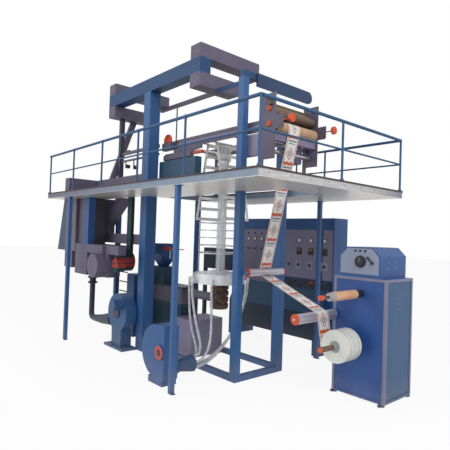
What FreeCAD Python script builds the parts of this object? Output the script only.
import FreeCAD, Part
import math
import os
import re
from FreeCAD import Vector

os.makedirs("parts", exist_ok=True)
doc = FreeCAD.newDocument("BlownFilmLine")

# Driving sizes in millimetres
# Plan places are measured from the deck's front right corner: "left" runs along the deck,
# "back" runs away from the front fascia, heights run up from the floor.
SIZES = {
    "corner_right": 2798, "corner_front": 1766,
    # Working deck
    "deck_length": 5850, "deck_depth": 2940, "deck_height": 2700,
    "left_bay_depth": 743, "main_bay_length": 3340,
    "floor_thickness": 20, "floor_lip": 8, "fascia_height": 106, "fascia_width": 50,
    "soffit_thickness": 3,
    "well_left": 670, "well_margin": 50, "well_back": 1125, "well_depth": 835,
    # Deck posts
    "post_width": 60, "post_plate": 110, "post_plate_thickness": 8, "post_inset": 15,
    "front_post_left": 1450, "far_post_left": 4830, "rear_post_left": 1400,
    "post_foot_length": 90,
    # Handrail
    "rail_height": 750, "mid_rail_height": 383, "top_rail_radius": 20, "mid_rail_radius": 12,
    "rail_post_radius": 15, "rail_inset": 25, "first_rail_bay": 1290, "rail_bays": 4,
    "side_rail_post_back": 1470, "rear_rail_post_left": 1340, "rear_rail_end_left": 1957,
    # Tower columns
    "big_column_width": 200, "big_column_left": 3540, "big_column_back": 743,
    "column_width": 110, "column_depth": 100, "right_column_left": 1378, "right_column_back": 945,
    "right_column_height": 4170,
    "rear_column_width": 124, "rear_column_back": 1781,
    "inner_post_width": 80, "inner_post_back": 1825,
    "far_column_width": 80, "far_column_inset": 108, "far_column_back": 917,
    "base_beam": 80,
    # Top beams
    "long_beam_left": 4848, "long_beam_right": 2000, "long_beam_depth": 200,
    "long_beam_bottom": 4372, "long_beam_height": 223,
    "cross_beam_width": 240, "cross_beam_height": 205, "upper_cross_length": 1220,
    "lower_cross_length": 780, "back_beam_width": 60, "back_beam_height": 70,
    "brace_width": 120, "brace_depth": 60, "brace_low_back": 790, "brace_high_back": 1203,
    "low_beam_height": 285, "low_beam_length": 1710, "low_beam_end": 200, "low_beam_front": 180,
    "tie_beam_width": 80, "tie_beam_height": 90, "tie_bracket_thickness": 12,
    "tie_bracket_height": 60,
    "board_thickness": 30, "board_height": 185, "board_front_back": 1180, "board_length": 1215,
    # Haul-off on the deck
    "haul_front_back": 1080, "haul_gauge": 900, "haul_plate": 16,
    "haul_bar_height": 55, "haul_bar_gap": 45, "haul_left": 3080, "haul_bar_length": 2410,
    "haul_bar_bottom": 3390,
    "stand_width": 260, "stand_left": 1060, "stand_bottom": 3010, "stand_height": 870,
    "nip_arm_length": 400, "nip_arm_height": 165, "nip_arm_bottom": 3405,
    "rubber_roller_radius": 85, "rubber_roller_left": 860, "rubber_roller_height": 3440,
    "steel_roller_radius": 75, "steel_roller_left": 900, "steel_roller_height": 3640,
    "small_roller_radius": 32, "low_roller_left": 930, "low_roller_height": 3130,
    "turn_roller_left": 1000, "turn_roller_height": 3250,
    "far_roller_left": 2900, "middle_roller_left": 1580, "bar_roller_height": 3417,
    "journal_radius": 22, "small_journal_radius": 11, "roller_end_gap": 25,
    "handwheel_radius": 55, "handwheel_thickness": 30, "handwheel_reach": 120,
    "haul_leg_width": 60,
    # Bubble, cage, collapsing boards
    "bubble_left": 2190, "bubble_back": 1425, "bubble_radius": 73,
    "frame_top": 3400, "frame_bottom": 2210, "frame_top_spread": 100,
    "hanger_radius": 12,
    "frame_bottom_spread": 330, "slat_length": 520, "slat_height": 46, "slat_thickness": 14,
    "slat_count": 8, "frame_rail": 26,
    "cage_radius": 350, "cage_band_thickness": 8, "cage_band_height": 14, "cage_post": 5,
    "cage_bottom": 1700, "cage_pitch": 118,
    "cage_ring_count": 5, "cage_post_count": 4,
    # Air ring and die
    "ring_radius": 420, "ring_bottom": 1235, "ring_height": 150, "ring_rise": 45,
    "ring_lip_radius": 130, "ring_rise_radius": 208, "nozzle_radius": 24, "nozzle_stub_radius": 21.6,
    "nozzle_reach": 475, "nozzle_bottom": 1240,
    "nozzle_height": 75, "hose_diameter": 36,
    "die_radius": 130, "die_bottom": 830, "die_band_radius": 145, "die_band_height": 62,
    "die_band_gap": 36, "die_band_count": 4,
    # Extruder
    "extruder_back": 1300, "extruder_width": 320, "extruder_left": 4080,
    "extruder_length": 1050, "extruder_base_height": 880, "barrel_cover_height": 190,
    "gear_box_length": 480, "gear_box_height": 300, "hopper_top": 1790, "hopper_width": 380,
    "hopper_throat": 130, "hopper_rim_height": 189, "barrel_radius": 70,
    "motor_box_length": 480, "motor_box_back": 1180,
    "motor_box_height": 590,
    # Blowers
    "volute_radius": 350, "volute_left": 1870, "volute_height": 430, "volute_thickness": 225,
    "volute_back": 75, "volute_side": 190, "inlet_radius": 95, "inlet_thickness": 22,
    "inlet_offset": 95, "blower_foot_length": 330, "blower_foot_height": 85,
    "far_volute_radius": 320, "far_volute_left": 3810, "far_volute_height": 600,
    "far_volute_thickness": 200, "far_volute_back": 520, "far_base_height": 40,
    "far_base_length": 640, "far_base_depth": 275, "far_base_front": 60,
    "far_motor_radius": 90, "far_motor_length": 180,
    "manifold_radius": 115, "manifold_length": 250, "manifold_height": 215,
    "manifold_left": 1765, "manifold_neck": 75, "flange_radius": 95, "flange_thickness": 45,
    # Printing unit hung below the deck's left bay
    "print_back": 300, "print_depth": 460,
    "side_top_left": 5769, "side_right_left": 5160, "side_bottom_left": 6024,
    "side_bottom": 1582, "side_panel_bottom": 1738,
    "print_panel_width": 330, "print_panel_inset": 60, "print_column_width": 230,
    "print_column_depth": 130, "bracket_left": 5128, "bracket_length": 1118,
    "bracket_height": 150, "stem_left": 4570, "stem_length": 370, "stem_height": 410,
    "print_body_left": 5128, "print_body_length": 518, "print_drop_left": 5640,
    "print_drop_length": 350, "print_drop_height": 320,
    "gear_case_left": 4100, "gear_case_radius": 200, "gear_case_depth": 190,
    "inking_block_left": 4045, "inking_block_length": 505,
    "inking_roller_left": 3640, "inking_roller_drop": 170, "inking_roller_radius": 110,
    "inking_roller_length": 140,
    "drum_left": 3835, "drum_height": 1470, "drum_radius": 165, "drum_length": 240,
    "drum_hanger_left": 3900, "drum_hanger_width": 140,
    "support_left": 5250, "support_back": 760, "support_bottom": 1770,
    "support_height": 175, "upright_left": 4950, "upright_width": 170,
    "knee_left": 4490, "knee_width": 378, "knee_foot_left": 4955, "knee_foot_height": 142,
    # Switch box behind the bubble
    "rear_box_left": 3580, "rear_box_length": 790, "rear_box_back": 2200,
    "rear_box_depth": 200, "rear_box_bottom": 1350, "rear_box_height": 385,
    # Control cabinet and desk
    "cabinet_left": 3640, "cabinet_length": 2360, "cabinet_back": 3160, "cabinet_depth": 380,
    "cabinet_height": 2330, "desk_end_inset": 130, "desk_back": 2960,
    "desk_bottom": 250, "desk_front_height": 700, "desk_top_height": 1090,
    "desk_plinth_length": 130,
    # Winder
    "winder_left": 308, "winder_width": 736, "winder_back": 1785, "winder_depth": 655,
    "winder_height": 1513, "winder_foot_height": 30, "winder_foot_radius": 22,
    "winder_frame": 34, "panel_recess": 8,
    "top_box_width": 565, "top_box_height": 380, "top_box_chamfer": 105, "top_box_right": 330,
    "top_box_setback": 5, "end_gap": 0.4,
    "reel_right": 25, "reel_axis_height": 705, "reel_radius": 195, "reel_width": 270,
    "reel_front_back": 1345, "reel_core_radius": 72, "shaft_radius": 32, "shaft_front_back": 1050,
    "spindle_right": 80, "spindle_height": 1315, "spindle_radius": 16, "spindle_front_back": 950,
    "paper_roll_radius": 55, "paper_roll_length": 450, "paper_roll_back": 1205,
    "chuck_radius": 48, "chuck_length": 80, "knob_radius": 28, "knob_length": 70,
    # Guide rollers and the printed strip
    "upper_guide_left": 1195, "upper_guide_height": 1485, "upper_guide_back": 1060,
    "guide_bracket_back": 1010, "guide_bracket_thickness": 12, "guide_bracket_height": 60,
    "rear_bracket_back": 1790, "guide_bracket_reach": 105, "guide_length": 700, "guide_radius": 50,
    "lower_guide_left": 291, "lower_journal": 16, "lower_guide_height": 1010, "lower_guide_back": 985,
    "lower_guide_length": 780, "lower_guide_radius": 62,
    "strip_width": 230, "strip_back": 1335, "film_thickness": 1.5, "film_gap": 0.5,
    "running_gap": 5,
}

sheet = doc.addObject("Spreadsheet::Sheet", "Sizes")
for row, (alias, amount) in enumerate(SIZES.items(), start=1):
    sheet.set("A%d" % row, alias)
    sheet.set("B%d" % row, str(amount))
    sheet.setAlias("B%d" % row, alias)
doc.recompute()

ALIAS_PATTERN = re.compile(r"\b(" + "|".join(sorted(SIZES, key=len, reverse=True)) + r")\b")


def bound(text):
    """Return a FreeCAD expression in which every alias points at the sheet."""
    return ALIAS_PATTERN.sub(r"Sizes.\1", str(text))


def size(alias):
    return float(sheet.get(alias))


def place(obj, right, back, up):
    """Bind a place: right of the deck's front right corner, back from it, up from the floor."""
    obj.setExpression("Placement.Base.x", bound("corner_right + (%s)" % right))
    obj.setExpression("Placement.Base.y", bound("(%s) - corner_front" % back))
    obj.setExpression("Placement.Base.z", bound(up))


def block(name, right, back, up, length, depth, height):
    obj = doc.addObject("Part::Box", name)
    obj.setExpression("Length", bound(length))
    obj.setExpression("Width", bound(depth))
    obj.setExpression("Height", bound(height))
    place(obj, right, back, up)
    return obj


AXIS_TURN = {
    "up": FreeCAD.Rotation(),
    "right": FreeCAD.Rotation(Vector(0, 1, 0), 90),
    "back": FreeCAD.Rotation(Vector(1, 0, 0), -90),
}


def rod(name, right, back, up, axis, length, radius):
    obj = doc.addObject("Part::Cylinder", name)
    obj.Placement = FreeCAD.Placement(Vector(), AXIS_TURN[axis])
    obj.setExpression("Radius", bound(radius))
    obj.setExpression("Height", bound(length))
    place(obj, right, back, up)
    return obj


def cone(name, right, back, up, axis, length, first_radius, last_radius):
    obj = doc.addObject("Part::Cone", name)
    obj.Placement = FreeCAD.Placement(Vector(), AXIS_TURN[axis])
    obj.setExpression("Radius1", bound(first_radius))
    obj.setExpression("Radius2", bound(last_radius))
    obj.setExpression("Height", bound(length))
    place(obj, right, back, up)
    return obj


def joined(name, pieces):
    obj = doc.addObject("Part::MultiFuse", name)
    obj.Shapes = pieces
    return obj


def apart(name, pieces):
    obj = doc.addObject("Part::Compound", name)
    obj.Links = pieces
    return obj


def cut(name, base, tool):
    obj = doc.addObject("Part::Cut", name)
    obj.Base = base
    obj.Tool = tool
    return obj


def drawn(name, shape):
    obj = doc.addObject("Part::Feature", name)
    obj.Shape = shape
    return obj


def at(right, back, up):
    """Turn a place beside the deck's corner into the part's own frame."""
    return Vector(size("corner_right") + right, back - size("corner_front"), up)


nodes = []


def node(label, obj):
    obj.Label = label
    nodes.append(obj)
    return obj


# Working deck: an L of channel framing, a floor sheet with the well, a bright soffit
deck_under = "deck_height - fascia_height"


def deck_plan(name, lip, up, height):
    """The L-shaped outline of the deck, its outer rim pushed out by a lip."""
    main = block(name + "_main", "-main_bay_length", "-(%s)" % lip, up,
                 "main_bay_length + (%s)" % lip, "deck_depth + 2 * (%s)" % lip, height)
    left = block(name + "_left", "-deck_length - (%s)" % lip, "-(%s)" % lip, up,
                 "deck_length - main_bay_length + (%s)" % lip,
                 "left_bay_depth + (%s)" % lip, height)
    return joined(name + "_plan", [main, left])


def column_hole(name, up, height):
    return block(name + "_column", "-right_column_left", "right_column_back", up,
                 "column_width", "column_depth", height)


def well_hole(name, up, height):
    return block(name + "_well", "-main_bay_length + well_margin", "well_back", up,
                 "main_bay_length - well_margin - well_left", "well_depth", height)


def deck_sheet(name, lip, up, thickness):
    plan = deck_plan(name, lip, up, thickness)
    tools = joined(name + "_openings",
                   [column_hole(name, up, thickness), well_hole(name, up, thickness)])
    return cut(name, plan, tools)


node("deck_floor", deck_sheet("deck_floor", "floor_lip", "deck_height - floor_thickness",
                              "floor_thickness"))
node("deck_soffit", deck_sheet("deck_soffit", "0", deck_under, "soffit_thickness"))

frame_up = deck_under + " + soffit_thickness"
frame_height = "fascia_height - floor_thickness - soffit_thickness"
frame_members = [
    ("front", "-deck_length", "0", "deck_length", "fascia_width"),
    ("right", "-fascia_width", "0", "fascia_width", "deck_depth"),
    ("back", "-main_bay_length", "deck_depth - fascia_width", "main_bay_length", "fascia_width"),
    ("left_end", "-deck_length", "0", "fascia_width", "left_bay_depth"),
    ("left_back", "-deck_length", "left_bay_depth - fascia_width",
     "deck_length - main_bay_length + fascia_width", "fascia_width"),
    ("main_left", "-main_bay_length", "left_bay_depth - fascia_width", "fascia_width",
     "deck_depth - left_bay_depth + fascia_width"),
    ("well_front", "-main_bay_length", "well_back - fascia_width", "main_bay_length",
     "fascia_width"),
    ("well_rear", "-main_bay_length", "well_back + well_depth", "main_bay_length",
     "fascia_width"),
    ("well_right", "-well_left", "well_back - fascia_width", "fascia_width",
     "well_depth + 2 * fascia_width"),
]
members = [block("frame_" + name, right, back, frame_up, length, depth, frame_height)
           for name, right, back, length, depth in frame_members]
node("deck_frame", joined("deck_frame", members))

# Posts below the deck: square tube with a cap plate and a short foot
posts = []
for name, left, back in (("front", "front_post_left", "post_inset"),
                         ("far", "far_post_left", "post_inset"),
                         ("rear", "rear_post_left", "deck_depth - post_inset - post_width")):
    tube = block("post_" + name + "_tube", "-%s - post_width / 2" % left, back, "0",
                 "post_width", "post_width", deck_under)
    cap = block("post_" + name + "_cap", "-%s - post_plate / 2" % left,
                "%s + post_width / 2 - post_plate / 2 + post_inset" % back,
                deck_under + " - post_plate_thickness",
                "post_plate", "post_plate - 2 * post_inset", "post_plate_thickness")
    foot = block("post_" + name + "_foot", "-%s - post_width / 2" % left, back, "0",
                 "post_foot_length", "post_width", "post_plate_thickness")
    posts.append(joined("post_" + name, [tube, cap, foot]))
node("deck_posts", apart("deck_posts", posts))

# Handrail round the front, the right end and part of the back
rail_top = "deck_height + rail_height - top_rail_radius"
rail_mid = "deck_height + mid_rail_height"


def rail_upright(name, right, back):
    return rod(name, right, back, "deck_height", "up",
               "rail_height - top_rail_radius", "rail_post_radius")


front_rail = [
    rod("front_top_rail", "-deck_length + rail_inset", "rail_inset", rail_top, "right",
        "deck_length - 2 * rail_inset", "top_rail_radius"),
    rod("front_mid_rail", "-deck_length + rail_inset", "rail_inset", rail_mid, "right",
        "deck_length - 2 * rail_inset", "mid_rail_radius"),
    rail_upright("front_corner_upright", "-rail_inset", "rail_inset"),
]
for bay in range(int(size("rail_bays")) + 1):
    step = "(deck_length - 2 * rail_inset - first_rail_bay) * %d / rail_bays" % bay
    front_rail.append(rail_upright("front_upright_%d" % bay,
                                   "-rail_inset - first_rail_bay - " + step, "rail_inset"))
node("handrail_front", joined("handrail_front", front_rail))

side_start = "rail_inset + top_rail_radius"
side_rail = [
    rod("side_top_rail", "-rail_inset", side_start, rail_top, "back",
        "deck_depth - 2 * rail_inset - top_rail_radius", "top_rail_radius"),
    rod("side_mid_rail", "-rail_inset", side_start, rail_mid, "back",
        "deck_depth - 2 * rail_inset - top_rail_radius", "mid_rail_radius"),
    rail_upright("side_middle_upright", "-rail_inset", "side_rail_post_back"),
    rail_upright("side_corner_upright", "-rail_inset", "deck_depth - rail_inset"),
]
node("handrail_side", joined("handrail_side", side_rail))

rear_length = "rear_rail_end_left - rail_inset - top_rail_radius"
rear_rail = [
    rod("rear_top_rail", "-rear_rail_end_left", "deck_depth - rail_inset", rail_top, "right",
        rear_length, "top_rail_radius"),
    rod("rear_mid_rail", "-rear_rail_end_left", "deck_depth - rail_inset", rail_mid, "right",
        rear_length, "mid_rail_radius"),
    rail_upright("rear_middle_upright", "-rear_rail_post_left", "deck_depth - rail_inset"),
    rail_upright("rear_end_upright", "-rear_rail_end_left + rail_post_radius",
                 "deck_depth - rail_inset"),
]
node("handrail_back", joined("handrail_back", rear_rail))

# Tower columns and the base frame that joins their feet
node("column_front_left",
     block("column_front_left", "-big_column_left", "big_column_back", "0",
           "big_column_width", "big_column_width", "long_beam_bottom"))
node("column_front_right",
     block("column_front_right", "-right_column_left", "right_column_back", "0",
           "column_width", "column_depth", "right_column_height"))
tower_right = "-right_column_left + column_width"
tower_rear = "rear_column_back + rear_column_width"
rear_post = block("rear_column", tower_right + " - rear_column_width", "rear_column_back", "0",
                  "rear_column_width", "rear_column_width", "haul_bar_bottom")
inner_post = block("inner_post", "-main_bay_length - inner_post_width", "inner_post_back", "0",
                   "inner_post_width", "inner_post_width", "deck_height - floor_thickness")
node("columns_back", apart("columns_back", [rear_post, inner_post]))
node("column_far_left",
     block("column_far_left", "-long_beam_left + far_column_inset", "far_column_back", "0",
           "far_column_width", "far_column_width", "long_beam_bottom - cross_beam_height"))

base_start = "-big_column_left + big_column_width"
base_members = [
    block("base_front", base_start, "right_column_back", "0",
          "big_column_left - big_column_width - right_column_left", "base_beam", "base_beam"),
    block("base_back", "-main_bay_length", tower_rear + " - base_beam", "0",
          "main_bay_length - right_column_left + column_width - rear_column_width",
          "base_beam", "base_beam"),
    block("base_right", tower_right + " - base_beam", "right_column_back + column_depth", "0",
          "base_beam", "rear_column_back - right_column_back - column_depth", "base_beam"),
]
node("base_frame", apart("base_frame", base_members))

# Beams on top of the tower
node("top_long_beam",
     block("top_long_beam", "-long_beam_left", "big_column_back", "long_beam_bottom",
           "long_beam_left - long_beam_right", "long_beam_depth", "long_beam_height"))
upper_cross_up = "long_beam_bottom + long_beam_height"
lower_cross_up = "long_beam_bottom - cross_beam_height"
near_cross = "-long_beam_right - cross_beam_width"


def cross_beam(name, right, up, length):
    return block(name, right, "big_column_back", up, "cross_beam_width", length,
                 "cross_beam_height")


def far_brace_shape():
    """A leaning brace beside the far column, from the cross beam down to the low beam."""
    top = size("long_beam_bottom") - size("cross_beam_height")
    right = -size("long_beam_left")
    low = size("deck_height") + size("low_beam_height")
    low_back = size("brace_low_back")
    high_back = size("brace_high_back")
    width = size("brace_width")
    points = [at(right, high_back, top), at(right, high_back + width, top),
              at(right, low_back + width, low), at(right, low_back, low)]
    face = Part.Face(Part.makePolygon(points + points[:1]))
    return face.extrude(Vector(size("brace_depth"), 0, 0))


far_lower = joined("far_lower_cross", [
    cross_beam("far_lower_beam", "-long_beam_left", lower_cross_up, "lower_cross_length"),
    drawn("far_brace", far_brace_shape())])
node("cross_beams", apart("cross_beams", [
    cross_beam("near_upper_cross", near_cross, upper_cross_up, "upper_cross_length"),
    cross_beam("near_lower_cross", near_cross, lower_cross_up, "lower_cross_length"),
    cross_beam("far_upper_cross", "-long_beam_left", upper_cross_up, "upper_cross_length"),
    far_lower]))
node("top_back_beam",
     block("top_back_beam", "-long_beam_left",
           "big_column_back + upper_cross_length - back_beam_width",
           upper_cross_up + " - back_beam_height", "long_beam_left - long_beam_right",
           "back_beam_width", "back_beam_height"))


low_beam_depth = "far_column_back - big_column_back"
low_run = block("low_beam_run", "-big_column_left - low_beam_length", "big_column_back",
                "deck_height", "low_beam_length", low_beam_depth, "low_beam_height")
low_end = block("low_beam_end_piece", "-big_column_left - low_beam_length - low_beam_end",
                "low_beam_front", "deck_height", "low_beam_end",
                "far_column_back - low_beam_front", "low_beam_height")
node("low_long_beam", joined("low_long_beam", [low_run, low_end]))

# Tie beam from the right column's head to the name board, the board itself left bare
tie = block("tie_beam", tower_right + " - tie_beam_width", "right_column_back",
            "right_column_height", "tie_beam_width",
            "board_front_back + board_length - right_column_back - board_height",
            "tie_beam_height")
bracket = block("tie_bracket", "-long_beam_right",
                "right_column_back + column_depth",
                "right_column_height - tie_bracket_height",
                "long_beam_right - right_column_left + column_width",
                "tie_bracket_thickness", "tie_bracket_height")
node("top_tie_beam", joined("top_tie_beam", [tie, bracket]))
board_up = "right_column_height + tie_beam_height - board_height"
board_plate = block("board_plate", tower_right, "board_front_back", board_up,
                    "board_thickness", "board_length - board_height / 2", "board_height")
board_end = rod("board_end", tower_right, "board_front_back + board_length - board_height / 2",
                board_up + " + board_height / 2", "right", "board_thickness",
                "board_height / 2")
node("name_board", joined("name_board", [board_plate, board_end]))

# Haul-off: two slotted side frames with a nip stand at the right end
haul_rear = "haul_front_back + haul_gauge"
stand_right = "-stand_left"
for label, back in (("haul_off_frame_front", "haul_front_back"),
                    ("haul_off_frame_back", haul_rear)):
    pieces = []
    for level in range(2):
        pieces.append(block(label + "_bar_%d" % level, "-haul_left", back,
                            "haul_bar_bottom + (haul_bar_height + haul_bar_gap) * %d" % level,
                            "haul_bar_length", "haul_plate", "haul_bar_height"))
    pieces.append(block(label + "_end", "-haul_left", back, "haul_bar_bottom",
                        "haul_bar_height", "haul_plate", "2 * haul_bar_height + haul_bar_gap"))
    pieces.append(block(label + "_stand", stand_right, back, "stand_bottom", "stand_width",
                        "haul_plate", "stand_height"))
    pieces.append(block(label + "_arm", stand_right, back, "nip_arm_bottom", "nip_arm_length",
                        "haul_plate", "nip_arm_height"))
    pieces.append(block(label + "_leg", "-haul_left", back, "deck_height",
                        "haul_leg_width", "haul_leg_width", "haul_bar_bottom - deck_height"))
    pieces.append(block(label + "_stand_leg", stand_right, back, "deck_height",
                        "haul_leg_width", "haul_plate", "stand_bottom - deck_height"))
    node(label, joined(label, pieces))

roller_span = "haul_gauge - haul_plate"
roller_start = "haul_front_back + haul_plate"


def deck_roller(name, left, up, radius, journal):
    barrel = rod(name + "_barrel", "-(%s)" % left, roller_start + " + roller_end_gap", up,
                 "back", roller_span + " - 2 * roller_end_gap", radius)
    axle = rod(name + "_axle", "-(%s)" % left, roller_start, up, "back", roller_span, journal)
    return joined(name, [barrel, axle])


node("nip_roller_rubber",
     deck_roller("nip_roller_rubber", "rubber_roller_left", "rubber_roller_height",
                 "rubber_roller_radius", "journal_radius"))
node("nip_roller_steel",
     deck_roller("nip_roller_steel", "steel_roller_left", "steel_roller_height",
                 "steel_roller_radius", "journal_radius"))
small_rollers = []
for name, left, height in (("low", "low_roller_left", "low_roller_height"),
                           ("turn", "turn_roller_left", "turn_roller_height"),
                           ("far", "far_roller_left", "bar_roller_height"),
                           ("middle", "middle_roller_left", "bar_roller_height")):
    small_rollers.append(deck_roller("small_roller_" + name, left, height,
                                     "small_roller_radius", "small_journal_radius"))
node("haul_off_rollers", apart("haul_off_rollers", small_rollers))

wheels = []
for name, back in (("front", "haul_front_back"), ("rear", haul_rear)):
    start = "-stand_left + nip_arm_length"
    stem = rod("wheel_stem_" + name, start, back + " + haul_plate / 2",
               "nip_arm_bottom + nip_arm_height / 2", "right", "handwheel_reach",
               "haul_plate / 2")
    rim = rod("wheel_rim_" + name, start + " + handwheel_reach", back + " + haul_plate / 2",
              "nip_arm_bottom + nip_arm_height / 2", "right", "handwheel_thickness",
              "handwheel_radius")
    wheels.append(joined("wheel_" + name, [stem, rim]))
node("nip_handwheels", apart("nip_handwheels", wheels))


# Collapsing boards: two leaning ladders of slats that close the bubble
def collapsing_side(sign):
    """One leaning ladder, its slats seated on two side rails."""
    bottom = size("frame_bottom")
    top = size("frame_top")
    low = size("frame_bottom_spread") * sign
    high = size("frame_top_spread") * sign
    rail = size("frame_rail")
    half = size("slat_length") / 2
    slat = size("slat_thickness")
    centre = -size("bubble_left")
    middle = size("bubble_back")
    pieces = []
    for side in (-1, 1):
        back = middle + side * (half - rail) - rail / 2
        points = [at(centre + low, back, bottom), at(centre + low + sign * rail, back, bottom),
                  at(centre + high + sign * rail, back, top), at(centre + high, back, top)]
        face = Part.Face(Part.makePolygon(points + points[:1]))
        pieces.append(face.extrude(Vector(0, rail, 0)))
    count = int(size("slat_count"))
    lean = (high - low) / (top - bottom)
    pitch = (top - bottom - size("slat_height")) / (count - 1)
    for index in range(count):
        up = bottom + pitch * index
        inner = centre + low + lean * (up - bottom)
        over = lean * size("slat_height")
        points = [at(inner, middle - half, up), at(inner - sign * slat, middle - half, up),
                  at(inner + over - sign * slat, middle - half, up + size("slat_height")),
                  at(inner + over, middle - half, up + size("slat_height"))]
        face = Part.Face(Part.makePolygon(points + points[:1]))
        pieces.append(face.extrude(Vector(0, 2 * half, 0)))
    return pieces[0].multiFuse(pieces[1:]).removeSplitter()


boards = []
for name, sign in (("left", -1), ("right", 1)):
    hanger = rod("board_hanger_" + name,
                 "-bubble_left + %d * (frame_top_spread + frame_rail / 2)" % sign,
                 roller_start, "frame_top", "back", roller_span, "hanger_radius")
    boards.append(joined("board_" + name,
                         [drawn("collapsing_" + name, collapsing_side(sign)), hanger]))
node("collapsing_frame", apart("collapsing_frame", boards))

# Bubble cage: rings on upright rods that stand on the air ring
ring_top = "ring_bottom + ring_height"
cage = []
for index in range(int(size("cage_ring_count"))):
    ring_up = "cage_bottom + cage_pitch * %d - cage_band_height / 2" % index
    outside = rod("cage_outside_%d" % index, "-bubble_left", "bubble_back", ring_up, "up",
                  "cage_band_height", "cage_radius + cage_band_thickness / 2")
    inside = rod("cage_inside_%d" % index, "-bubble_left", "bubble_back", ring_up, "up",
                 "cage_band_height", "cage_radius - cage_band_thickness / 2")
    cage.append(cut("cage_ring_%d" % index, outside, inside))
for index in range(int(size("cage_post_count"))):
    angle = 45 + 360 * index / size("cage_post_count")
    reach = "cage_radius * cos(%s deg)" % angle
    side = "cage_radius * sin(%s deg)" % angle
    cage.append(rod("cage_post_%d" % index, "-bubble_left + " + reach, "bubble_back + " + side,
                    ring_top, "up",
                    "cage_bottom + cage_pitch * (cage_ring_count - 1) - ring_bottom"
                    " - ring_height", "cage_post"))
node("bubble_cage", joined("bubble_cage", cage))

node("film_bubble",
     rod("film_bubble", "-bubble_left", "bubble_back", ring_top + " + ring_rise", "up",
         "frame_top - ring_bottom - ring_height - ring_rise", "bubble_radius"))

# Air ring with its cone and hose nozzles, and the die below it
body = rod("air_ring_body", "-bubble_left", "bubble_back", "ring_bottom", "up", "ring_height",
           "ring_radius")
rise = cone("air_ring_rise", "-bubble_left", "bubble_back", ring_top, "up", "ring_rise",
            "ring_rise_radius", "ring_lip_radius")


def nozzle_shape(angle):
    """A hose elbow: a stub out of the ring's side and a spout that points down."""
    turn = math.radians(angle)
    outward = Vector(math.cos(turn), math.sin(turn), 0)
    centre = at(-size("bubble_left"), size("bubble_back"), size("nozzle_bottom"))
    spout_foot = centre + outward * size("nozzle_reach")
    radius = size("nozzle_radius")
    height = size("nozzle_height")
    spout = Part.makeCylinder(radius, height, spout_foot, Vector(0, 0, 1))
    stub_start = centre + outward * (size("ring_radius") - radius)
    stub_start.z += height - radius
    stub = Part.makeCylinder(size("nozzle_stub_radius"),
                             size("nozzle_reach") - size("ring_radius") + radius,
                             stub_start, outward)
    return spout.fuse(stub)


NOZZLE_ANGLES = (228, 258, 305, 15, 68)
nozzles = [drawn("nozzle_%d" % angle, nozzle_shape(angle)) for angle in NOZZLE_ANGLES]
node("air_ring", joined("air_ring", [body, rise] + nozzles))

die = [rod("die_core", "-bubble_left", "bubble_back", "die_bottom", "up",
           "ring_bottom - die_bottom", "die_radius")]
for index in range(int(size("die_band_count"))):
    die.append(rod("die_band_%d" % index, "-bubble_left", "bubble_back",
                   "die_bottom + die_band_gap / 2 + (die_band_height + die_band_gap) * %d"
                   % index, "up", "die_band_height", "die_band_radius"))
node("die_head", joined("die_head", die))

# Extruder: base, covered barrel, gear box, hopper, and the box below the die
node("extruder_base",
     block("extruder_base", "-extruder_left", "extruder_back", "0", "extruder_length",
           "extruder_width", "extruder_base_height"))
cover = block("barrel_cover", "-extruder_left", "extruder_back", "extruder_base_height",
              "extruder_length", "extruder_width", "barrel_cover_height")
barrel = rod("barrel", "-extruder_left + extruder_length",
             "extruder_back + extruder_width / 2",
             "extruder_base_height + barrel_cover_height / 2", "right",
             "extruder_left - extruder_length - bubble_left - die_band_radius",
             "barrel_radius")
gear_box = block("gear_box", "-extruder_left", "extruder_back",
                 "extruder_base_height + barrel_cover_height", "gear_box_length",
                 "extruder_width", "gear_box_height")
node("extruder_barrel", joined("extruder_barrel", [cover, barrel, gear_box]))


def hopper_shape():
    """A square funnel with an upright rim, standing on the gear box."""
    low = size("extruder_base_height") + size("barrel_cover_height") + size("gear_box_height")
    top = size("hopper_top")
    middle = top - size("hopper_rim_height")
    right = -size("extruder_left") + size("gear_box_length") / 2
    back = size("extruder_back") + size("extruder_width") / 2

    def square(width, up):
        half = width / 2
        points = [at(right - half, back - half, up), at(right + half, back - half, up),
                  at(right + half, back + half, up), at(right - half, back + half, up)]
        return Part.makePolygon(points + points[:1])

    funnel = Part.makeLoft([square(size("hopper_throat"), low),
                            square(size("hopper_width"), middle)], True, True)
    rim = Part.Face(square(size("hopper_width"), middle)).extrude(Vector(0, 0, top - middle))
    return funnel.fuse(rim).removeSplitter()


node("extruder_hopper", drawn("extruder_hopper", hopper_shape()))
node("extruder_motor_box",
     block("extruder_motor_box", "-extruder_left + extruder_length", "motor_box_back", "0",
           "motor_box_length", tower_rear + " - base_beam - motor_box_back",
           "motor_box_height"))

# Front blower: a D-shaped volute on a foot, blowing into a cone that feeds the hoses
half_disc = rod("volute_disc", "-volute_left", "volute_back", "volute_height", "back",
                "volute_thickness", "volute_radius")
volute_side = block("volute_side", "-volute_left", "volute_back",
                    "volute_height - volute_radius", "volute_side", "volute_thickness",
                    "2 * volute_radius")
trim = block("volute_trim", "-volute_left + volute_side", "volute_back",
             "volute_height - volute_radius", "volute_radius", "volute_thickness",
             "2 * volute_radius")
volute = cut("volute", joined("volute_whole", [half_disc, volute_side]), trim)
blower_foot = block("blower_foot", "-volute_left - blower_foot_length / 2", "volute_back", "0",
                    "blower_foot_length", "volute_thickness", "blower_foot_height")
inlet = rod("blower_inlet", "-volute_left + inlet_offset", "volute_back - inlet_thickness",
            "volute_height", "back", "inlet_thickness", "inlet_radius")
node("blower_front", joined("blower_front", [volute, blower_foot, inlet]))
flange_back = "volute_back + volute_thickness"
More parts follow.
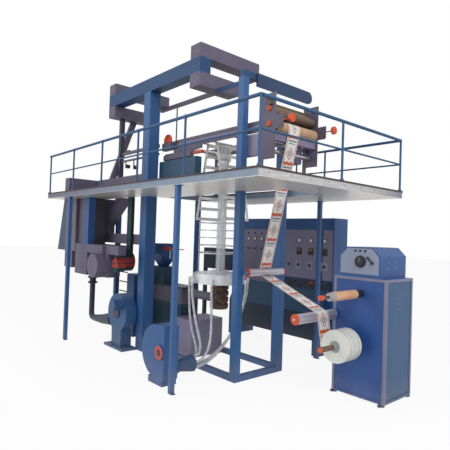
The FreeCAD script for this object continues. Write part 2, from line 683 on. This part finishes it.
manifold = [
    rod("manifold_flange", "-manifold_left", flange_back, "manifold_height", "back",
        "flange_thickness", "flange_radius"),
    cone("manifold_cone", "-manifold_left", flange_back + " + flange_thickness",
         "manifold_height", "back", "manifold_length", "manifold_neck", "manifold_radius"),
]
node("air_manifold", joined("air_manifold", manifold))

# Far blower on its base plate
far_disc = rod("far_volute", "-far_volute_left", "far_volute_back", "far_volute_height", "back",
               "far_volute_thickness", "far_volute_radius")
far_pedestal = block("far_pedestal", "-far_volute_left - far_volute_radius / 2",
                     "far_volute_back", "far_base_height", "far_volute_radius",
                     "far_volute_thickness", "far_volute_height - far_base_height")
far_base = block("far_base", "-far_volute_left - far_base_length / 2",
                 "far_volute_back - far_base_front", "0", "far_base_length",
                 "far_base_depth", "far_base_height")
far_inlet = rod("far_inlet", "-far_volute_left", "far_volute_back - inlet_thickness",
                "far_volute_height", "back", "inlet_thickness", "inlet_radius")
far_motor = rod("far_motor", "-far_volute_left + far_volute_radius / 2",
                "far_volute_back - far_motor_length", "far_volute_height + far_volute_radius / 2",
                "back", "far_motor_length", "far_motor_radius")
node("blower_left", joined("blower_left", [far_disc, far_pedestal, far_base, far_inlet,
                                           far_motor]))

# Printing unit hung below the deck's left bay: flared housing, bracket, cases and rollers
def upright_prism(points, back, depth):
    """Extrude an outline in the plane of the deck's long side away from the front."""
    corners = [at(right, back, up) for right, up in points]
    face = Part.Face(Part.makePolygon(corners + corners[:1]))
    return face.extrude(Vector(0, depth, 0))


def print_housing_shape():
    """The flared side sheet and the panel beside it, both up to the soffit."""
    right = -size("side_right_left")
    head = size("deck_height") - size("fascia_height")
    low = size("side_bottom")
    points = [(-size("side_top_left"), head), (right, head),
              (right, size("side_panel_bottom")),
              (right, low), (-size("side_bottom_left"), low)]
    side = upright_prism(points, size("print_back"), size("print_depth"))
    inset = size("print_panel_inset")
    panel_right = right + size("print_panel_width")
    panel = upright_prism([(right, size("side_panel_bottom")),
                           (panel_right, size("side_panel_bottom")),
                           (panel_right, head), (right, head)],
                          size("print_back") + inset, size("print_depth") - inset)
    return side.fuse(panel).removeSplitter()


node("printing_side", drawn("printing_side", print_housing_shape()))
print_column_right = "-side_right_left + print_panel_width"
node("printing_column",
     block("printing_column", print_column_right, "print_back", "side_panel_bottom",
           "print_column_width", "print_column_depth",
           deck_under + " - side_panel_bottom"))
bracket_bottom = "side_panel_bottom - bracket_height"
bracket = block("print_bracket", "-bracket_left", "print_back", bracket_bottom,
                "bracket_length", "print_depth", "bracket_height")
stem = block("print_stem", "-stem_left", "print_back + print_panel_inset",
             bracket_bottom + " - stem_height", "stem_length",
             "print_depth - print_panel_inset", "stem_height")
print_body = block("print_body", "-print_body_left", "print_back", bracket_bottom
                   + " - stem_height", "print_body_length", "print_depth", "stem_height")
drop = block("print_drop", "-print_drop_left", "print_back",
             "side_bottom - print_drop_height", "print_drop_length", "print_depth",
             "print_drop_height")
tie = block("print_drop_tie", "-print_drop_left", "print_back + print_panel_inset",
            "side_bottom - print_drop_height / 2", "print_drop_left - print_body_left",
            "print_depth - 2 * print_panel_inset", "print_drop_height / 2")
node("printing_unit", joined("printing_unit", [bracket, stem, print_body, drop, tie]))


def gear_case_shape():
    """An eight-sided gear case on the stem's front."""
    middle = (size("side_panel_bottom") - size("bracket_height")
              - size("gear_case_radius"))
    points = []
    for corner in range(8):
        angle = math.radians(22.5 + 45 * corner)
        reach = size("gear_case_radius") / math.cos(math.radians(22.5))
        points.append((-size("gear_case_left") + reach * math.cos(angle),
                       middle + reach * math.sin(angle)))
    return upright_prism(points, size("print_back") + size("print_panel_inset")
                         - size("gear_case_depth"), size("gear_case_depth"))


case_root = block("case_root", "-stem_left + stem_length", "print_back + print_panel_inset",
                  bracket_bottom + " - 2 * gear_case_radius",
                  "stem_left - stem_length - gear_case_left + gear_case_radius",
                  "inking_roller_length", "2 * gear_case_radius")
inking_block = block("inking_block", "-bracket_left + bracket_length",
                     "print_back + print_panel_inset", bracket_bottom,
                     "bracket_left - bracket_length - inking_block_left + inking_block_length",
                     "inking_roller_length", "bracket_height")
node("printing_gear_case",
     joined("printing_gear_case", [drawn("gear_case", gear_case_shape()), case_root,
                                   inking_block]))

# Inking roller below its block, and the printing drum on a hanger from the soffit
inking_up = bracket_bottom + " - inking_roller_drop"
inking_roller = rod("inking_roller", "-inking_roller_left", "print_back + print_panel_inset",
                    inking_up, "back", "inking_roller_length", "inking_roller_radius")
inking_hanger = block("inking_hanger", "-inking_roller_left - journal_radius",
                      "print_back + print_panel_inset", inking_up,
                      "2 * journal_radius", "inking_roller_length", "inking_roller_drop")
drum = rod("print_drum", "-drum_left", "support_back - drum_length", "drum_height", "back",
           "drum_length", "drum_radius")
drum_hanger = block("drum_hanger", "-drum_hanger_left", "support_back - print_panel_inset",
                    "drum_height", "drum_hanger_width", "print_panel_inset",
                    deck_under + " - drum_height")
node("printing_rollers", apart("printing_rollers", [
    joined("inking_roller_hung", [inking_roller, inking_hanger]),
    joined("print_drum_hung", [drum, drum_hanger])]))


def print_support_shape():
    """A cross beam from the big column, with an upright and a knee up to the soffit."""
    back = size("support_back")
    depth = size("far_column_back") - back
    low = size("support_bottom")
    top = low + size("support_height")
    head = size("deck_height") - size("fascia_height")
    left = -size("support_left")
    right = -size("big_column_left")
    beam = upright_prism([(left, low), (right, low), (right, top), (left, top)], back, depth)
    post_left = -size("upright_left")
    post_right = post_left + size("upright_width")
    post = upright_prism([(post_left, top), (post_right, top), (post_right, head),
                          (post_left, head)], back, depth)
    foot = top + size("knee_foot_height")
    knee = upright_prism([(-size("knee_foot_left"), foot), (post_right, foot),
                          (-size("knee_left") + size("knee_width"), head),
                          (-size("knee_left"), head)], back, depth)
    return beam.multiFuse([post, knee]).removeSplitter()


node("printing_support", drawn("printing_support", print_support_shape()))

# Switch box behind the bubble on a thin post
rear_box = block("rear_box_case", "-rear_box_left", "rear_box_back", "rear_box_bottom",
                 "rear_box_length", "rear_box_depth", "rear_box_height")
rear_post_pieces = [
    block("rear_box_post", "-rear_box_left", "rear_box_back", "0", "post_width",
          "post_width", "rear_box_bottom"),
    block("rear_box_foot", "-rear_box_left", "rear_box_back", "0", "rear_box_depth",
          "rear_box_depth", "post_plate_thickness")]
node("rear_switch_box", joined("rear_switch_box", [rear_box] + rear_post_pieces))

# Control cabinet and the sloped desk in front of it
cabinet = block("cabinet_body", "-cabinet_left", "cabinet_back", "desk_bottom",
                "cabinet_length", "cabinet_depth", "cabinet_height - desk_bottom")
plinths = [block("plinth_" + name, right, "desk_back", "0", "desk_plinth_length",
                 "cabinet_back + cabinet_depth - desk_back", "desk_bottom")
           for name, right in (("left", "-cabinet_left"),
                               ("right", "-cabinet_left + cabinet_length - desk_end_inset"
                                " - desk_plinth_length"))]
node("control_cabinet", joined("control_cabinet", [cabinet] + plinths))


def desk_shape():
    """A desk with a sloped top, its front hung above the floor."""
    left = -size("cabinet_left")
    front = size("desk_back")
    rear = size("cabinet_back")
    low = size("desk_bottom")
    points = [at(left, front, low), at(left, rear, low), at(left, rear, size("desk_top_height")),
              at(left, front, size("desk_front_height"))]
    face = Part.Face(Part.makePolygon(points + points[:1]))
    return face.extrude(Vector(size("cabinet_length") - size("desk_end_inset"), 0, 0))


desk = drawn("desk_body", desk_shape())
node("control_desk", desk)

# Winder cabinet: an angle frame round recessed panels, on four feet
winder_right = "-winder_left + winder_width"
shell = block("winder_shell", "-winder_left", "winder_back", "winder_foot_height",
              "winder_width", "winder_depth", "winder_height - winder_foot_height")
panel_up = "winder_foot_height + winder_frame"
panel_height = "winder_height - winder_foot_height - 2 * winder_frame"
recesses = []
for name, back in (("front", "winder_back"),
                   ("rear", "winder_back + winder_depth - panel_recess")):
    recesses.append(block("recess_" + name, "-winder_left + winder_frame", back, panel_up,
                          "winder_width - 2 * winder_frame", "panel_recess", panel_height))
for name, right in (("left", "-winder_left"), ("right", winder_right + " - panel_recess")):
    recesses.append(block("recess_" + name, right, "winder_back + winder_frame", panel_up,
                          "panel_recess", "winder_depth - 2 * winder_frame", panel_height))
feet = []
for side, right in (("left", "-winder_left + winder_frame"),
                    ("right", winder_right + " - winder_frame")):
    for end, back in (("front", "winder_back + winder_frame"),
                      ("rear", "winder_back + winder_depth - winder_frame")):
        feet.append(rod("foot_%s_%s" % (side, end), right, back, "0", "up",
                        "winder_foot_height", "winder_foot_radius"))
carved = cut("winder_carved", shell, joined("winder_recesses", recesses))
node("winder_cabinet", joined("winder_cabinet", [carved] + feet))


def top_box_shape():
    """The instrument box, its front outline chamfered at both upper corners."""
    right = size("top_box_right")
    left = right - size("top_box_width")
    low = size("winder_height")
    top = low + size("top_box_height")
    chamfer = size("top_box_chamfer")
    front = size("winder_back") + size("top_box_setback")
    points = [at(left, front, low), at(right, front, low), at(right, front, top - chamfer),
              at(right - chamfer, front, top), at(left + chamfer, front, top),
              at(left, front, top - chamfer)]
    face = Part.Face(Part.makePolygon(points + points[:1]))
    return face.extrude(Vector(0, size("winder_depth") - 2 * size("top_box_setback"), 0))


node("winder_top_box", drawn("winder_top_box", top_box_shape()))

# Winding shaft with the film reel, and the small roll on its spindle
shaft = rod("winding_shaft_bar", "reel_right", "shaft_front_back", "reel_axis_height", "back",
            "winder_back + panel_recess - end_gap - shaft_front_back", "shaft_radius")
core = rod("reel_core", "reel_right", "reel_front_back", "reel_axis_height", "back",
           "reel_width", "reel_core_radius")
node("winding_shaft", joined("winding_shaft", [shaft, core]))
reel = rod("reel_whole", "reel_right", "reel_front_back", "reel_axis_height", "back",
           "reel_width", "reel_radius")
bore = rod("reel_bore", "reel_right", "reel_front_back", "reel_axis_height", "back",
           "reel_width", "reel_core_radius")
node("film_reel", cut("film_reel", reel, bore))

spindle = [
    rod("spindle_bar", "spindle_right", "spindle_front_back + knob_length", "spindle_height",
        "back", "winder_back + panel_recess - end_gap - spindle_front_back - knob_length",
        "spindle_radius"),
    rod("spindle_knob", "spindle_right", "spindle_front_back", "spindle_height", "back",
        "knob_length", "knob_radius"),
    rod("spindle_chuck", "spindle_right", "paper_roll_back - chuck_length", "spindle_height",
        "back", "chuck_length", "chuck_radius"),
    rod("spindle_hub", "spindle_right", "paper_roll_back + paper_roll_length",
        "spindle_height", "back",
        "winder_back - running_gap - paper_roll_back - paper_roll_length", "chuck_radius"),
]
node("roll_spindle", joined("roll_spindle", spindle))
paper = rod("paper_whole", "spindle_right", "paper_roll_back", "spindle_height", "back",
            "paper_roll_length", "paper_roll_radius")
paper_bore = rod("paper_bore", "spindle_right", "paper_roll_back", "spindle_height", "back",
                 "paper_roll_length", "spindle_radius")
node("paper_roll", cut("paper_roll", paper, paper_bore))

# Upper guide roller between two brackets on the columns
bracket_low = "upper_guide_height - guide_bracket_height / 2"
guide_brackets = []
for name, back in (("front", "guide_bracket_back"), ("rear", "rear_bracket_back")):
    guide_brackets.append(block("guide_bracket_" + name, tower_right, back, bracket_low,
                                "guide_bracket_reach", "guide_bracket_thickness",
                                "guide_bracket_height"))
node("guide_brackets", apart("guide_brackets", guide_brackets))
upper_axle_start = "guide_bracket_back + guide_bracket_thickness + end_gap"
node("guide_roller_upper", joined("guide_roller_upper", [
    rod("upper_guide_barrel", "-upper_guide_left", "upper_guide_back", "upper_guide_height",
        "back", "guide_length", "guide_radius"),
    rod("upper_guide_axle", "-upper_guide_left", upper_axle_start, "upper_guide_height",
        "back", "rear_bracket_back - end_gap - (%s)" % upper_axle_start, "journal_radius")]))

# Lower guide roller, its journal seated on the winder's corner angle
node("guide_roller_lower", joined("guide_roller_lower", [
    rod("lower_guide_barrel", "-lower_guide_left", "lower_guide_back", "lower_guide_height",
        "back", "lower_guide_length", "lower_guide_radius"),
    rod("lower_guide_axle", "-lower_guide_left", "lower_guide_back - roller_end_gap",
        "lower_guide_height", "back",
        "winder_back - end_gap - lower_guide_back + roller_end_gap", "lower_journal")]))


# Printed film: over the rubber nip, down round both guide rollers, on to the reel
def web_circles():
    """Centre, radius of the web's middle and turning sense of each roller in turn."""
    middle = size("film_gap") + size("film_thickness") / 2
    return [
        (at(-size("rubber_roller_left"), 0, size("rubber_roller_height")),
         size("rubber_roller_radius") + middle, -1),
        (at(-size("upper_guide_left"), 0, size("upper_guide_height")),
         size("guide_radius") + middle, 1),
        (at(-size("lower_guide_left"), 0, size("lower_guide_height")),
         size("lower_guide_radius") + middle, -1),
        (at(size("reel_right"), 0, size("reel_axis_height")),
         size("reel_radius") + middle, 1)]


def web_headings(circles):
    """Angle of each straight leg that leaves one roller and meets the next."""
    headings = []
    for (first, first_radius, first_sense), (last, last_radius, last_sense) in zip(
            circles, circles[1:]):
        across = last - first
        reach = first_sense * first_radius - last_sense * last_radius
        headings.append(math.atan2(across.z, across.x) + math.asin(reach / across.Length))
    return headings


def web_point(circle, heading, offset):
    """Where a web with this heading lies on a roller, moved to the right by an offset."""
    centre, radius, sense = circle
    return centre + Vector(math.sin(heading), 0, -math.cos(heading)) * (sense * radius
                                                                        + offset)


def web_line(circles, headings, offset):
    """Edges of the web from the top of the first roller to the last roller."""
    edges = []
    here = web_point(circles[0], 0, offset)
    before = 0
    for index, heading in enumerate(headings):
        leave = web_point(circles[index], heading, offset)
        turned = (heading - before + math.pi) % (2 * math.pi) - math.pi
        middle = web_point(circles[index], before + turned / 2, offset)
        edges.append(Part.Arc(here, middle, leave).toShape())
        meet = web_point(circles[index + 1], heading, offset)
        edges.append(Part.LineSegment(leave, meet).toShape())
        here = meet
        before = heading
    return edges


def strip_shape():
    """The web as one closed outline, drawn out across its width."""
    circles = web_circles()
    headings = web_headings(circles)
    half = size("film_thickness") / 2
    right_side = web_line(circles, headings, half)
    left_side = web_line(circles, headings, -half)
    first_cap = Part.LineSegment(left_side[0].firstVertex(True).Point,
                                 right_side[0].firstVertex(True).Point).toShape()
    last_cap = Part.LineSegment(right_side[-1].lastVertex(True).Point,
                                left_side[-1].lastVertex(True).Point).toShape()
    outline = Part.Wire(Part.__sortEdges__([first_cap] + right_side + [last_cap] + left_side))
    strip = Part.Face(outline).extrude(Vector(0, size("strip_width"), 0))
    strip.translate(Vector(0, size("strip_back"), 0))
    return strip


node("film_strip", drawn("film_strip", strip_shape()))


# Air hoses from the manifold up to the ring: straight runs joined by wide arcs
HOSE_ROUTES = {
    "hose_1": [(-2508, 1072, 1240), (-2508, 1072, 1109), (-2468, 1050, 954),
               (-2421, 1024, 819), (-2356, 992, 693), (-2274, 959, 578), (-2177, 924, 475),
               (-2070, 884, 385), (-1960, 829, 309), (-1833, 710, 237), (-1833, 595, 237)],
    "hose_2": [(-2289, 960, 1240), (-2289, 960, 1111), (-2247, 952, 957),
               (-2198, 941, 823), (-2133, 925, 697), (-2054, 905, 578), (-1965, 877, 470),
               (-1870, 829, 374), (-1765, 708, 287), (-1765, 595, 287)],
    "hose_3": [(-1918, 1036, 1240), (-1918, 1036, 1116), (-1898, 1026, 966),
               (-1874, 1012, 831), (-1844, 990, 699), (-1808, 958, 569), (-1769, 912, 446),
               (-1732, 840, 335), (-1697, 704, 237), (-1697, 595, 237)],
    "hose_4": [(-1731, 1548, 1240), (-1731, 1548, 1083), (-1730, 1480, 898),
               (-1729, 1408, 739), (-1727, 1317, 589), (-1726, 1207, 453),
               (-1725, 1079, 335), (-1724, 932, 240), (-1723, 735, 157), (-1723, 595, 157)],
    "hose_5": [(-2012, 1865, 1240), (-2012, 1865, 1076), (-1980, 1766, 894),
               (-1953, 1670, 741), (-1924, 1555, 603), (-1895, 1424, 479),
               (-1868, 1279, 372), (-1844, 1122, 282), (-1824, 953, 215),
               (-1807, 741, 157), (-1807, 595, 157)],
}


def rounded_path(points):
    """Edges of a route whose corners are arcs of 0.45 of the shorter run."""
    edges = []
    radii = []
    here = points[0]
    for before, corner, after in zip(points, points[1:], points[2:]):
        inward = (before - corner)
        outward = (after - corner)
        setback = 0.45 * min(inward.Length, outward.Length)
        inward.normalize()
        outward.normalize()
        turn = math.pi - inward.getAngle(outward)
        radius = setback / math.tan(turn / 2)
        radii.append(radius)
        first = corner + inward * setback
        last = corner + outward * setback
        middle_way = (inward + outward).normalize()
        centre = corner + middle_way * math.hypot(setback, radius)
        middle = centre - middle_way * radius
        edges.append(Part.LineSegment(here, first).toShape())
        edges.append(Part.Arc(first, middle, last).toShape())
        here = last
    edges.append(Part.LineSegment(here, points[-1]).toShape())
    return edges, radii


def hose(name, route, diameter):
    points = [at(*point) for point in route]
    edges, radii = rounded_path(points)
    path = Part.Wire(edges)
    profile = Part.Wire(Part.Circle(points[0], points[1] - points[0], diameter / 2).toShape())
    tube = path.makePipeShell([profile], True, False)
    expected = math.pi * diameter ** 2 / 4 * path.Length
    print(name, "radii", [round(radius) for radius in radii], "least", round(min(radii)),
          "volume ratio", round(tube.Volume / expected, 4))
    return node(name, drawn(name, tube))


for name, route in HOSE_ROUTES.items():
    hose(name, route, size("hose_diameter"))

doc.recompute()

for obj in doc.Objects:
    if "Invalid" in obj.State or "Error" in obj.State:
        raise RuntimeError("%s failed: %s" % (obj.Name, obj.State))
whole = None
for obj in nodes:
    shape = obj.Shape
    if shape.isNull() or not shape.isValid() or not shape.Solids:
        raise RuntimeError("%s has no valid solid" % obj.Label)
    shape.exportStep("parts/%s.step" % obj.Label)
    box = shape.BoundBox
    if whole is None:
        whole = FreeCAD.BoundBox(box)
    else:
        whole.add(box)
print(len(nodes), "nodes", "x", whole.XMin, whole.XMax, "y", whole.YMin, whole.YMax,
      "z", whole.ZMin, whole.ZMax)
